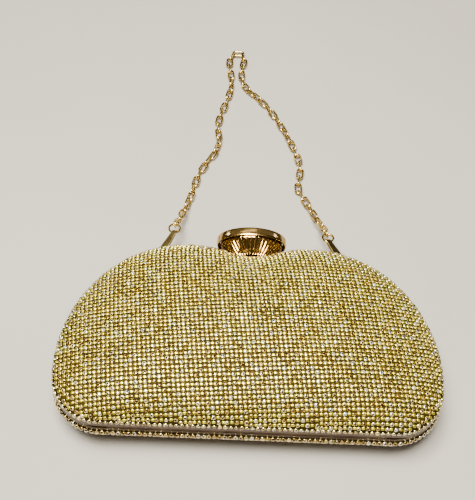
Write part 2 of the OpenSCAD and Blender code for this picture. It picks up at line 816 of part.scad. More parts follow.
rear_crystal_mesh();
rear_shell();
rear_frame();
rear_lining();
rear_hinge_knuckles();
hinge_pin();
lug_left();
lug_right();
clasp_bracket();
clasp_bracket_rivets();
clasp_pin();
clasp_spring();
front_crystal_mesh();
front_shell();
front_frame();
front_lining();
front_hinge_knuckles();
catch_plate();
catch_plate_rivets();
knob_rim();
knob_cone();
knob_cap();
knob_stem();
latch_lever();
bail_left();
bail_right();
bail_pins();
jump_ring_left();
jump_ring_right();
chain_links_left();
chain_top_link();
chain_links_right();
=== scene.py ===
"""Looks of a hard evening clutch: crystal mesh, satin frames, a fluted oval knob and a chain handle."""

import sys

import logging
import math
from dataclasses import dataclass, fields
from enum import Enum

import bpy
import numpy as np
from mathutils import Matrix, Vector


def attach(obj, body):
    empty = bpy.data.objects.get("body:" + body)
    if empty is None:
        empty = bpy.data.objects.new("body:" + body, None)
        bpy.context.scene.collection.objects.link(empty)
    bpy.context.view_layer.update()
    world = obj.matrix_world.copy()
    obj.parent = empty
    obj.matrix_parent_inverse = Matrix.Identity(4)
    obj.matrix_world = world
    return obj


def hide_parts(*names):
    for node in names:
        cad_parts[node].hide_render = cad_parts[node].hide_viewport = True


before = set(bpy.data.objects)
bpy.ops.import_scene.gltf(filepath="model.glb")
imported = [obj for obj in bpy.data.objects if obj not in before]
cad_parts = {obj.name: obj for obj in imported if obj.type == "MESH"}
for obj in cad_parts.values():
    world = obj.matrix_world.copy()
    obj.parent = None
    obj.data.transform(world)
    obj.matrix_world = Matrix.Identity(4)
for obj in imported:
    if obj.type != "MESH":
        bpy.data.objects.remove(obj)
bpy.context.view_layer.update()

log = logging.getLogger("clutch")

SEAM_Z = 0.025
BAND_H = 0.005

Piece = bpy.types.Object
Finish = bpy.types.Material
Socket = bpy.types.NodeSocket
Triple = tuple[float, float, float]


class Side(Enum):
    """The two halves of the clutch, each with the direction in which its dome rises."""

    REAR = -1
    FRONT = 1

    @property
    def half(self) -> str:
        """Name of the half, as its pieces start with it."""
        return self.name.lower()

    @property
    def body(self) -> str:
        """CAD body that this half's pieces ride on."""
        return self.half + "_half"

    def placed(self, shape: "Surface") -> "Surface":
        """A shape made over a rim at zero, taken to this half's side of the seam."""
        upright = shape if self is Side.FRONT else shape.mirrored()
        return upright.lifted(SEAM_Z + self.value * BAND_H)


# Shapes


@dataclass
class Surface:
    """A shape as points, four-cornered faces and three-cornered faces, with a tint for each face."""

    points: np.ndarray
    quads: np.ndarray
    tris: np.ndarray
    tints: np.ndarray | None = None

    @classmethod
    def of_rings(cls, rings: np.ndarray, looped: bool = False) -> "Surface":
        """Skins a stack of closed rings, each anticlockwise about the stack's way up.

        Args:
            rings: Points of the rings, as (ring, point, 3).
            looped: Join the last ring to the first one, in place of closing both ends with a fan.

        Returns:
            The skin, with its faces outward.
        """
        count, around = rings.shape[:2]
        here = np.arange(around)
        nxt = np.roll(here, -1)
        low = np.arange(count if looped else count - 1)[:, None] * around
        high = (low + around) % (count * around)
        quads = np.stack([low + here, low + nxt, high + nxt, high + here], -1).reshape(-1, 4)
        points = rings.reshape(-1, 3)
        tris = np.empty((0, 3), int)
        if not looped:
            foot, top = count * around, count * around + 1
            last = (count - 1) * around
            points = np.vstack([points, rings[0].mean(0), rings[-1].mean(0)])
            tris = np.vstack([np.stack([nxt, here, np.full(around, foot)], 1),
                              np.stack([here + last, nxt + last, np.full(around, top)], 1)])
        return cls(points, quads, tris)

    def stamped(self, places: "Places", tints: np.ndarray) -> "Surface":
        """Repeats the shape at many places, as place + x along + y across + z out.

        Args:
            places: Where the copies stand and which way they face.
            tints: Tint of each face of each copy, as (copy, face, 4).

        Returns:
            All copies as one shape.
        """
        p = self.points
        points = (places.at[:, None] + p[:, 0, None] * places.along[:, None]
                  + p[:, 1, None] * places.across[:, None] + p[:, 2, None] * places.out[:, None])
        shift = np.arange(len(places.at))[:, None, None] * len(p)
        quads = (self.quads + shift).reshape(-1, 4)
        tris = (self.tris + shift).reshape(-1, 3)
        fours = tints[:, :len(self.quads)].reshape(-1, 4)
        threes = tints[:, len(self.quads):].reshape(-1, 4)
        return Surface(points.reshape(-1, 3), quads, tris, np.vstack([fours, threes]))

    def mirrored(self) -> "Surface":
        """The shape turned over in Z, with its faces outward again."""
        return Surface(self.points * [1, 1, -1], self.quads[:, ::-1], self.tris[:, ::-1], self.tints)

    def lifted(self, height: float) -> "Surface":
        """The shape moved up by a height."""
        return Surface(self.points + [0, 0, height], self.quads, self.tris, self.tints)

    def to_object(self, name: str, crease: float | None = None) -> Piece:
        """Makes a Blender object of the shape, with its tints on its corners.

        Args:
            name: Name of the object.
            crease: Angle in degrees above which an edge stays sharp, or None for flat faces.

        Returns:
            The object, at the origin.
        """
        mesh = bpy.data.meshes.new(name)
        sizes = np.r_[np.full(len(self.quads), 4), np.full(len(self.tris), 3)]
        corners = np.r_[self.quads.ravel(), self.tris.ravel()].astype(np.int32)
        mesh.vertices.add(len(self.points))
        mesh.vertices.foreach_set("co", self.points.astype(np.float32).ravel())
        mesh.loops.add(len(corners))
        mesh.loops.foreach_set("vertex_index", corners)
        mesh.polygons.add(len(sizes))
        mesh.polygons.foreach_set("loop_start", (np.cumsum(sizes) - sizes).astype(np.int32))
        mesh.update(calc_edges=True)
        if self.tints is not None:
            layer = mesh.color_attributes.new("tint", "FLOAT_COLOR", "CORNER")
            tints = np.repeat(self.tints, sizes, 0)
            layer.data.foreach_set("color", tints.astype(np.float32).ravel())
        if crease is not None:
            mesh.shade_smooth()
            mesh.set_sharp_from_angle(angle=math.radians(crease))
        piece = bpy.data.objects.new(name, mesh)
        bpy.context.scene.collection.objects.link(piece)
        return piece


@dataclass
class Places:
    """Places on a surface with three directions each: along, across and out of it."""

    at: np.ndarray
    along: np.ndarray
    across: np.ndarray
    out: np.ndarray

    def chosen(self, keep: np.ndarray) -> "Places":
        """Only the places that a mask keeps."""
        return Places(self.at[keep], self.along[keep], self.across[keep], self.out[keep])

    def slid(self, step: float) -> "Places":
        """Each place moved across by a step."""
        return Places(self.at + step * self.across, self.along, self.across, self.out)

    def askew(self, draw: np.random.Generator, tip: float, spin: float) -> "Places":
        """Each place tipped and turned a little by chance.

        Args:
            draw: Source of chance, seeded.
            tip: Usual tip, in radians.
            spin: Widest turn about the way out, in radians.

        Returns:
            The places, still with square directions.
        """
        lean = draw.normal(0, tip, (2, len(self.at), 1))
        turn = draw.uniform(0, spin, (len(self.at), 1))
        out = unit(self.out + lean[0] * self.along + lean[1] * self.across)
        along = np.cos(turn) * self.along + np.sin(turn) * self.across
        along = unit(along - (along * out).sum(1, keepdims=True) * out)
        return Places(self.at, along, np.cross(out, along), out)

    def joined(self, other: "Places") -> "Places":
        """These places and the other ones."""
        pairs = ((getattr(self, each.name), getattr(other, each.name)) for each in fields(self))
        return Places(*(np.vstack(pair) for pair in pairs))


def unit(rows: np.ndarray) -> np.ndarray:
    """Rows of vectors, each brought to a length of one."""
    return rows / np.maximum(np.linalg.norm(rows, axis=-1, keepdims=True), 1e-12)


def turns(count: int) -> np.ndarray:
    """Angles of points evenly spaced round a circle."""
    return 2 * np.pi * np.arange(count) / count


def polygon(sides: int) -> np.ndarray:
    """Corners of a regular polygon of radius one, anticlockwise from X."""
    return np.stack([np.cos(turns(sides)), np.sin(turns(sides))], 1)


def stacked(plan: np.ndarray, shares: np.ndarray, heights: np.ndarray) -> np.ndarray:
    """Rings of one plan, each scaled by its share and set at its height, as (ring, point, 3)."""
    flat = shares[:, None, None] * plan
    return np.concatenate([flat, np.broadcast_to(heights[:, None, None], (*flat.shape[:2], 1))], 2)


def runs(path: np.ndarray) -> np.ndarray:
    """Length of a line of points up to each of them."""
    return np.r_[0, np.cumsum(np.linalg.norm(np.diff(path, axis=0), axis=1))]


def paced(path: np.ndarray, at: np.ndarray) -> np.ndarray:
    """Points at given distances along a line of points."""
    return np.stack([np.interp(at, runs(path), axis) for axis in path.T], 1)


def rounded(profile: np.ndarray, times: int) -> np.ndarray:
    """Cuts the corners of a closed profile: each edge keeps its points at one and three quarters.

    Args:
        profile: Corners of the profile.
        times: How many times its corners are cut.

    Returns:
        The smoother profile.
    """
    for _ in range(times):
        nxt = np.roll(profile, -1, 0)
        profile = np.stack([0.75 * profile + 0.25 * nxt, 0.25 * profile + 0.75 * nxt], 1).reshape(-1, 2)
    return profile


# Finishes


class Nodes:
    """Short ways to make and join shader nodes of one material."""

    def __init__(self, name: str) -> None:
        """Starts a material with a Principled shader.

        Args:
            name: Name of the material.
        """
        self.material = bpy.data.materials.new(name)
        self.material.use_nodes = True
        self.tree = self.material.node_tree
        self.shader = next(n for n in self.tree.nodes if n.type == "BSDF_PRINCIPLED")
        self.place = self.tree.nodes.new("ShaderNodeTexCoord").outputs["Object"]

    def set(self, **values: object) -> None:
        """Sets constants on the shader's own sockets, with _ for a space in their names."""
        for key, value in values.items():
            self.shader.inputs[key.replace("_", " ")].default_value = value

    def link(self, source: Socket, socket: str) -> None:
        """Joins a node's output to one of the shader's sockets."""
        self.tree.links.new(source, self.shader.inputs[socket])

    def add(self, kind: str, output: str, inputs: dict[str, object], **settings: object) -> Socket:
        """Adds a node with constants and joined sockets as its inputs.

        Args:
            kind: Type of the node, without the words that all types start with.
            output: Name of the output that is handed back.
            inputs: Constant or socket of each input, by its name.
            settings: The node's own settings.

        Returns:
            The output.
        """
        node = self.tree.nodes.new("ShaderNode" + kind)
        for key, value in settings.items():
            setattr(node, key, value)
        for key, value in inputs.items():
            if isinstance(value, Socket):
                self.tree.links.new(value, node.inputs[key])
            else:
                node.inputs[key].default_value = value
        return node.outputs[output]

    def stretched(self, scale: Triple) -> Socket:
        """Object coordinates, scaled along each axis."""
        return self.add("Mapping", "Vector", {"Vector": self.place, "Scale": scale})

    def noise(self, scale: float, detail: float, where: Socket | None = None) -> Socket:
        """Noise of a given scale in Object coordinates, or in other ones."""
        inputs = {"Vector": where or self.place, "Scale": scale, "Detail": detail}
        return self.add("TexNoise", "Fac", inputs)

    def ramp(self, source: Socket, low: float, high: float, first: Triple, last: Triple) -> Socket:
        """Colours between two ones.

        Args:
            source: Number that picks the colour.
            low: Its value for the first colour.
            high: Its value for the last colour.
            first: The first colour.
            last: The last colour.

        Returns:
            The colour.
        """
        colour = self.add("ValToRGB", "Color", {"Fac": source})
        for stop, place, tone in zip(colour.node.color_ramp.elements, (low, high), (first, last)):
            stop.position = place
            stop.color = (*tone, 1)
        return colour

    def span(self, source: Socket, low: float, high: float) -> Socket:
        """Numbers from low to high while the source goes from a quarter to three quarters."""
        inputs = {"Value": source, "From Min": 0.25, "From Max": 0.75, "To Min": low, "To Max": high}
        return self.add("MapRange", "Result", inputs)

    def bump(self, height: Socket, depth: float, strength: float) -> None:
        """Roughens the surface by a height map of the given depth in metres."""
        inputs = {"Distance": depth, "Strength": strength, "Height": height}
        self.link(self.add("Bump", "Normal", inputs), "Normal")

    def multiplied(self, first: Socket, second: Socket) -> Socket:
        """Two colours multiplied."""
        inputs = {"Factor": 1.0, "A": first, "B": second}
        return self.add("Mix", "Result", inputs, data_type="RGBA", blend_type="MULTIPLY")

    def tint(self) -> Socket:
        """The tint that a piece's faces carry."""
        return self.add("Attribute", "Color", {}, attribute_name="tint")

    def weave(self, pitch: float) -> Socket:
        """Height of a plain weave: two crossed waves, whose crests lie 0.3142 / scale apart.

        Args:
            pitch: Distance between two threads.

        Returns:
            The height, as a grey.
        """
        inputs = {"Vector": self.place, "Scale": 0.3142 / pitch, "Distortion": 0.4}
        return self.multiplied(*(self.add("TexWave", "Color", inputs, bands_direction=way)
                                 for way in ("X", "Y")))


@dataclass(frozen=True)
class Metal:
    """A plated or bare metal: two close tones, the gloss of handled metal, and fine brushing."""

    name: str
    tone: Triple
    shade: Triple
    gloss: tuple[float, float]
    patch: float = 90.0
    brushing: Triple = (300.0, 4000.0, 4000.0)
    brush_depth: float = 0.000004
    strength: float = 0.15

    def make(self) -> Finish:
        """Builds the material.

        Returns:
            A Principled metal with procedural tone, roughness and bump.
        """
        n = Nodes(self.name)
        n.set(Metallic=1.0)
        patch = n.noise(self.patch, 4)
        n.link(n.ramp(patch, 0.35, 0.65, self.shade, self.tone), "Base Color")
        n.link(n.span(n.noise(self.patch * 7, 5), *self.gloss), "Roughness")
        n.bump(n.noise(1.0, 2, n.stretched(self.brushing)), self.brush_depth, self.strength)
        return n.material


@dataclass(frozen=True)
class TintedMetal:
    """Bright metal of beads and cups, whose tone, with painted shade on their walls, each face carries
    in its tint.
    """

    name: str
    gloss: tuple[float, float]

    def make(self) -> Finish:
        """Builds the material: the tint, dulled a little in patches, with a fine hammered bump.

        Returns:
            The material.
        """
        n = Nodes(self.name)
        n.set(Metallic=1.0)
        dull = n.ramp(n.noise(160, 3), 0.3, 0.7, (0.82, 0.8, 0.76), (1.0, 1.0, 1.0))
        n.link(n.multiplied(n.tint(), dull), "Base Color")
        n.link(n.span(n.noise(900, 3), *self.gloss), "Roughness")
        n.bump(n.noise(2600, 2), 0.00002, 0.2)
        return n.material


@dataclass(frozen=True)
class CrystalGlass:
    """Foil-backed cut glass: mirror facets under a clear coat, each with its own tint, which holds the
    stone's colour with painted glints and painted shade.
    """

    name: str = "cut_crystal"

    def make(self) -> Finish:
        """Builds the material: the facet's tint with its painted light, clouded a little, under a
        polished coat.

        Returns:
            The material.
        """
        n = Nodes(self.name)
        n.set(Metallic=0.7, IOR=1.56, Coat_Weight=1.0, Coat_Roughness=0.02, Coat_IOR=1.56)
        cloud = n.ramp(n.noise(700, 2), 0.3, 0.7, (0.88, 0.86, 0.82), (1.0, 1.0, 1.0))
        n.link(n.multiplied(n.tint(), cloud), "Base Color")
        n.link(n.span(n.noise(1500, 2), 0.06, 0.14), "Roughness")
        return n.material


@dataclass(frozen=True)
class Cloth:
    """Satin lining: a fine weave with sheen and slow changes of tone."""

    name: str
    tone: Triple
    shade: Triple
    pitch: float = 0.0004

    def make(self) -> Finish:
        """Builds the material with a woven bump and a soft sheen.

        Returns:
            The material.
        """
        n = Nodes(self.name)
        n.set(Sheen_Weight=0.6, Sheen_Roughness=0.35, Specular_IOR_Level=0.5)
        n.link(n.ramp(n.noise(30, 4), 0.3, 0.7, self.shade, self.tone), "Base Color")
        n.link(n.span(n.noise(220, 3), 0.38, 0.52), "Roughness")
        n.bump(n.weave(self.pitch), 0.00008, 0.5)
        return n.material


@dataclass(frozen=True)
class Plain:
    """A matt surface with a soft mottle, for the mesh's near-black backing, which is painted shade, and
    the floor.
    """

    name: str
    tone: Triple
    shade: Triple
    scale: float = 40.0
    rough: tuple[float, float] = (0.6, 0.75)
    depth: float = 0.00003
    shine: float = 0.4

    def make(self) -> Finish:
        """Builds the material with a mottled tone and a slight tooth.

        Returns:
            The material.
        """
        n = Nodes(self.name)
        n.set(Specular_IOR_Level=self.shine)
        n.link(n.ramp(n.noise(self.scale, 4), 0.3, 0.7, self.shade, self.tone), "Base Color")
        n.link(n.span(n.noise(self.scale * 5, 3), *self.rough), "Roughness")
        n.bump(n.noise(self.scale * 25, 3), self.depth, 0.3)
        return n.material


class Finishes:
    """Every finish of the clutch, made once and handed out by name."""

    def __init__(self) -> None:
        """Builds the materials."""
        polish = (2500.0, 2500.0, 2500.0)
        # The bands' rose gold is darkened well below its real tone, as painted reflection of dark
        # surroundings
        self.satin_band = Metal("satin_rose_gold_painted_dark", (0.085, 0.05, 0.022), (0.045, 0.02, 0.008),
                                gloss=(0.3, 0.42), patch=70, brushing=(60, 60, 5200),
                                brush_depth=0.000006, strength=0.35).make()
        self.mirror_gold = Metal("mirror_gold", (0.56, 0.37, 0.12), (0.47, 0.29, 0.08),
                                 gloss=(0.12, 0.22), patch=60, brushing=polish,
                                 brush_depth=0.000002, strength=0.05).make()
        # A darker copy of the knob's gold for the fluted cup: painted shade for the dark surroundings
        # it mirrors
        self.flute_gold = Metal("flute_gold", (0.42, 0.24, 0.055), (0.33, 0.18, 0.04),
                                gloss=(0.04, 0.09), patch=60, brushing=polish,
                                brush_depth=0.000002, strength=0.05).make()
        self.chain_gold = Metal("chain_gold", (0.7, 0.53, 0.18), (0.5, 0.35, 0.09),
                                gloss=(0.12, 0.26), patch=180, brushing=polish,
                                strength=0.12).make()
        self.steel = Metal("plain_steel", (0.6, 0.58, 0.55), (0.46, 0.45, 0.43),
                           gloss=(0.24, 0.38)).make()
        self.sheet = Metal("pressed_sheet", (0.68, 0.6, 0.46), (0.58, 0.5, 0.37),
                           gloss=(0.34, 0.5)).make()
        self.bead = TintedMetal("bead_gold", (0.33, 0.47)).make()
        self.cup = TintedMetal("cup_gold", (0.2, 0.32)).make()
        self.crystal = CrystalGlass().make()
        # Near-black backing: painted shade in the gaps between stones and beads
        self.backing = Plain("mesh_backing_painted_shade", (0.03, 0.02, 0.002), (0.014, 0.009, 0.001),
                             scale=120, shine=0.06).make()
        self.lining = Cloth("champagne_satin", (0.5, 0.38, 0.23), (0.42, 0.31, 0.18)).make()
        self.floor = Plain("pale_floor", (0.36, 0.34, 0.315), (0.335, 0.315, 0.29),
                           scale=6, rough=(0.8, 0.9)).make()


def dress(piece: Piece, material: Finish) -> Piece:
    """Gives a piece one material in place of what it had.

    Args:
        piece: A new piece or a CAD node.
        material: Its finish.

    Returns:
        The piece.
    """
    piece.data.materials.clear()
    piece.data.materials.append(material)
    return piece


def stand_in(piece: Piece, material: Finish, body: str, node: str) -> Piece:
    """Dresses a new piece, and lets it ride on a body in place of a CAD node.

    Args:
        piece: The piece.
        material: Its finish.
        body: Name of the CAD body.
        node: Name of the CAD node.

    Returns:
        The piece.
    """
    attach(piece, body)
    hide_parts(node)
    return dress(piece, material)


# The clutch's plan and domes


@dataclass(frozen=True)
class ClutchOutline:
    """Plan of the frame's edge: a straight hinge edge, corners, sides, shoulders and a dip."""

    hinge_edge_l: float = 0.154
    corner_r: float = 0.0266
    corner_turn: float = 82.0
    side_r: float = 0.0816
    side_turn: float = 52.0
    shoulder_r: float = 0.0632
    dip_r: float = 0.0368
    fineness: int = 60

    def points(self, offset: float) -> np.ndarray:
        """Points of the whole outline, anticlockwise from the middle of the hinge edge.

        The right half is a straight line and four arcs, c + r (sin t, -cos t), whose radii
        grow by the offset; the left half is its mirror image.

        Args:
            offset: Distance outwards from the frame's edge.

        Returns:
            Points as (n, 2), round the outline's middle.
        """
        def way(turn: float) -> np.ndarray:
            """Direction of an arc's point from its centre, at a heading in degrees."""
            return np.array([math.sin(math.radians(turn)), -math.cos(math.radians(turn))])

        def arc(centre: np.ndarray, radius: float, first: float, last: float,
                share: int) -> np.ndarray:
            """Points of one arc, without its last."""
            t = np.radians(np.linspace(first, last, share * self.fineness, endpoint=False))
            return centre + radius * np.stack([np.sin(t), -np.cos(t)], 1)

        shoulder_start = self.corner_turn + self.side_turn
        corner = np.array([self.hinge_edge_l / 2, self.corner_r])
        side = corner + (self.corner_r - self.side_r) * way(self.corner_turn)
        shoulder = side + (self.side_r - self.shoulder_r) * way(shoulder_start)
        reach = self.shoulder_r + self.dip_r
        dip_turn = math.degrees(math.asin(shoulder[0] / reach))
        dip = np.array([0.0, shoulder[1] + reach * math.cos(math.radians(dip_turn))])
        line = np.linspace(0, corner[0], 6 * self.fineness, endpoint=False)
        half = np.vstack([
            np.stack([line, np.full_like(line, -offset)], 1),
            arc(corner, self.corner_r + offset, 0, self.corner_turn, 6),
            arc(side, self.side_r + offset, self.corner_turn, shoulder_start, 6),
            arc(shoulder, self.shoulder_r + offset, shoulder_start, 180 + dip_turn, 7),
            arc(dip, offset - self.dip_r, 180 + dip_turn, 180, 3),
            dip + [[0, offset - self.dip_r]]])
        half -= [0, (shoulder[1] + self.shoulder_r) / 2]
        return np.vstack([half, (half * [-1, 1])[-2:0:-1]])

    def evenly(self, offset: float, count: int) -> np.ndarray:
        """The outline as a given number of points, evenly spaced along it.

        Args:
            offset: Distance outwards from the frame's edge.
            count: Number of points.

        Returns:
            Points as (count, 2).
        """
        loop = self.points(offset)
        loop = np.vstack([loop, loop[:1]])
        return paced(loop, np.arange(count) * runs(loop)[-1] / count)


@dataclass
class Dome:
    """A dome over the outline: where its plan is drawn in to a share q, it stands at z, with
    q^power + (z / apex)^power = 1. Below its rim the wall goes straight down."""

    outline: ClutchOutline
    offset: float
    height: float
    power: float
    crown: float
    reach: float = 0.12
    thread_steps: int = 12000
    wall_steps: int = 4000
    newton_rounds: int = 9
    newton_damping: float = 1e-9

    def __post_init__(self) -> None:
        """Keeps the apex and the outline's radius at each angle."""
        self.apex = self.height / (1 - self.crown ** self.power) ** (1 / self.power)
        edge = self.outline.points(self.offset)
        self._angles = np.unwrap(np.arctan2(edge[:, 1], edge[:, 0]))
        self._radii = np.hypot(edge[:, 0], edge[:, 1])

    def share(self, x: np.ndarray, y: np.ndarray) -> np.ndarray:
        """How far out a plan point lies, as a share of the outline's radius at its angle."""
        angle = np.mod(np.arctan2(y, x) - self._angles[0], 2 * np.pi) + self._angles[0]
        return np.hypot(x, y) / np.interp(angle, self._angles, self._radii)

    def off(self, p: np.ndarray) -> np.ndarray:
        """How far points are off the surface: a tenth of (q^power + (z / apex)^power - 1) / power,
        or of 2 (z / height - 1) where that is more, as over the flat crown.

        Args:
            p: Points, with their coordinates last.

        Returns:
            A number for each point: zero on the surface, and more outside.
        """
        wall = self.share(p[..., 0], p[..., 1]) ** self.power
        rise = np.maximum(p[..., 2] / self.apex, 0) ** self.power
        return np.maximum((wall + rise - 1) / self.power, 2 * (p[..., 2] / self.height - 1)) * 0.1

    def slope(self, p: np.ndarray, step: float = 0.00002) -> np.ndarray:
        """Gradient of off() by central differences."""
        steps = np.eye(3) * step
        return np.stack([(self.off(p + s) - self.off(p - s)) / (2 * step) for s in steps], -1)

    def above(self, x: np.ndarray, y: np.ndarray) -> np.ndarray:
        """Height of the surface over plan points."""
        room = np.maximum(1 - self.share(x, y) ** self.power, 0)
        return np.minimum(self.apex * room ** (1 / self.power), self.height)

    def walk(self, way: np.ndarray, pitch: float, count: int) -> np.ndarray:
        """Points at even steps of a thread that lies straight in plan from the middle outwards.

        Args:
            way: Direction in plan, of length one.
            pitch: Step along the surface.
            count: Number of steps.

        Returns:
            The points, as (count, 3), going on down the wall past the rim.
        """
        t = np.linspace(0, self.reach, self.thread_steps)
        x, y = way[0] * t, way[1] * t
        inside = self.share(x, y) < 1
        top = np.stack([x, y, self.above(x, y)], 1)[inside]
        down = np.linspace(0, self.reach, self.wall_steps)[:, None] * [0, 0, -1]
        path = np.vstack([top, top[-1] * [1, 1, 0] + down])
        return paced(path, np.arange(1, count + 1) * pitch)

    def drape(self, pitch: float, across: int, along: int, row_lean: float,
              column_lean: float) -> np.ndarray:
        """Lays a square net on the dome whose every mesh side keeps its length.

        The middle row and the middle column are walked first. Each further knot is then the
        point on the surface one pitch away from its two earlier neighbours. The knots of one
        diagonal are solved together, by Newton's method, from the parallelogram's fourth corner.

        Args:
            pitch: Length of each side of a mesh.
            across: Number of columns on each side of the middle one.
            along: Number of rows on each side of the middle one.
            row_lean: Angle in degrees by which the middle row is turned anticlockwise.
            column_lean: The same of the middle column.

        Returns:
            Knots as (2 across + 1, 2 along + 1, 3).
        """
        row_turn, column_turn = math.radians(row_lean), math.radians(column_lean)
        row_way = np.array([math.cos(row_turn), math.sin(row_turn)])
        column_way = np.array([-math.sin(column_turn), math.cos(column_turn)])
        net = np.full((2 * across + 1, 2 * along + 1, 3), np.nan)
        net[across, along] = [0, 0, self.height]
        net[across + 1:, along] = self.walk(row_way, pitch, across)
        net[:across, along] = self.walk(-row_way, pitch, across)[::-1]
        net[across, along + 1:] = self.walk(column_way, pitch, along)
        net[across, :along] = self.walk(-column_way, pitch, along)[::-1]
        for right, up in ((1, 1), (1, -1), (-1, 1), (-1, -1)):
            for step in range(2, across + along + 1):
                i = np.arange(max(1, step - along), min(across, step - 1) + 1)
                col, row = across + right * i, along + up * (step - i)
                one, two = net[col - right, row], net[col, row - up]
                knot = one + two - net[col - right, row - up]
                for _ in range(self.newton_rounds):
                    a, b = knot - one, knot - two
                    miss = np.stack([(a * a).sum(1) - pitch ** 2, (b * b).sum(1) - pitch ** 2,
                                     self.off(knot) * pitch], 1)
                    lean = np.stack([2 * a, 2 * b, self.slope(knot) * pitch], 1)
                    lean += np.eye(3) * self.newton_damping
                    move = np.linalg.solve(lean, miss[..., None])[..., 0]
                    size = np.linalg.norm(move, axis=1, keepdims=True)
                    knot = knot - move * np.minimum(1, pitch / 2 / np.maximum(size, 1e-12))
                net[col, row] = knot
        return net

    def knots(self, net: np.ndarray) -> tuple[Places, np.ndarray]:
        """Turns a net's inner knots into places with directions.

        Args:
            net: Knots from drape().

        Returns:
            The places, and a mask of those that fall on even squares of the chequer.
        """
        at = net[1:-1, 1:-1]
        along = unit(net[2:, 1:-1] - net[:-2, 1:-1])
        across = unit(net[1:-1, 2:] - net[1:-1, :-2])
        out = unit(self.slope(at))
        even = np.indices(at.shape[:2]).sum(0) % 2 == 0
        return Places(*(v.reshape(-1, 3) for v in (at, along, across, out))), even.ravel()

    def rim(self, rise: float, count: int, tilt: float) -> Places:
        """Places round the dome at a small height over its rim, evenly spaced in plan.

        Args:
            rise: Height over the rim.
            count: Number of places.
            tilt: Tangent of the angle by which they face the seam.

        Returns:
            The places, with along running anticlockwise.
        """
        plan = self.outline.evenly(self.offset, count)
        share = (1 - (rise / self.apex) ** self.power) ** (1 / self.power)
        at = np.column_stack([plan * share, np.full(count, rise)])
        along = unit(np.roll(at, -1, 0) - np.roll(at, 1, 0))
        out = unit(unit(self.slope(at)) - [0, 0, tilt])
        return Places(at, along, unit(np.cross(out, along)), out)

    def drawn_in(self, inward: float) -> "Dome":
        """The same dome with its plan and its height drawn in."""
        return Dome(self.outline, self.offset - inward, self.height - inward, self.power, self.crown)

    def face(self, rings: int, count: int) -> np.ndarray:
        """Rings of the dome's face from its rim up.

        Each ring is the outline drawn in to the share cos(a)^(2/power), at the height
        apex sin(a)^(2/power).

        Args:
            rings: Number of rings.
            count: Points of each ring.

        Returns:
            Points as (rings, count, 3).
        """
        top = math.asin(min(1.0, (self.height / self.apex) ** (self.power / 2)))
        a = np.linspace(0, top, rings)
        share = np.cos(a) ** (2 / self.power)
        rise = self.apex * np.sin(a) ** (2 / self.power)
        return stacked(self.outline.evenly(self.offset, count), share, rise)

    def skin(self, thick: float, rings: int, count: int) -> Surface:
        """The dome as a closed sheet: its outer face, and an inner face drawn in by its thickness.

        Args:
            thick: Thickness of the sheet.
            rings: Rings of each face.
            count: Points of each ring.

        Returns:
            The sheet, with its faces outward.
        """
        inner = self.drawn_in(thick).face(rings, count)
        return Surface.of_rings(np.concatenate([inner[::-1], self.face(rings, count)]))


# Crystal mesh

# Tints of clear, honey, brown and faintly blue stones
STONE_KINDS = np.array([[1.0, 0.94, 0.68], [0.86, 0.67, 0.27], [0.5, 0.32, 0.08], [0.88, 0.9, 1.0]])

# Painted light on the stones' facets: how much of a stone's tint a facet in painted shade, a half lit
# facet and a facet with a painted glint show
PAINTED_FACET_LIGHT = np.array([[0.1, 0.05, 0.015], [0.5, 0.41, 0.23], [1.0, 1.0, 1.0]])


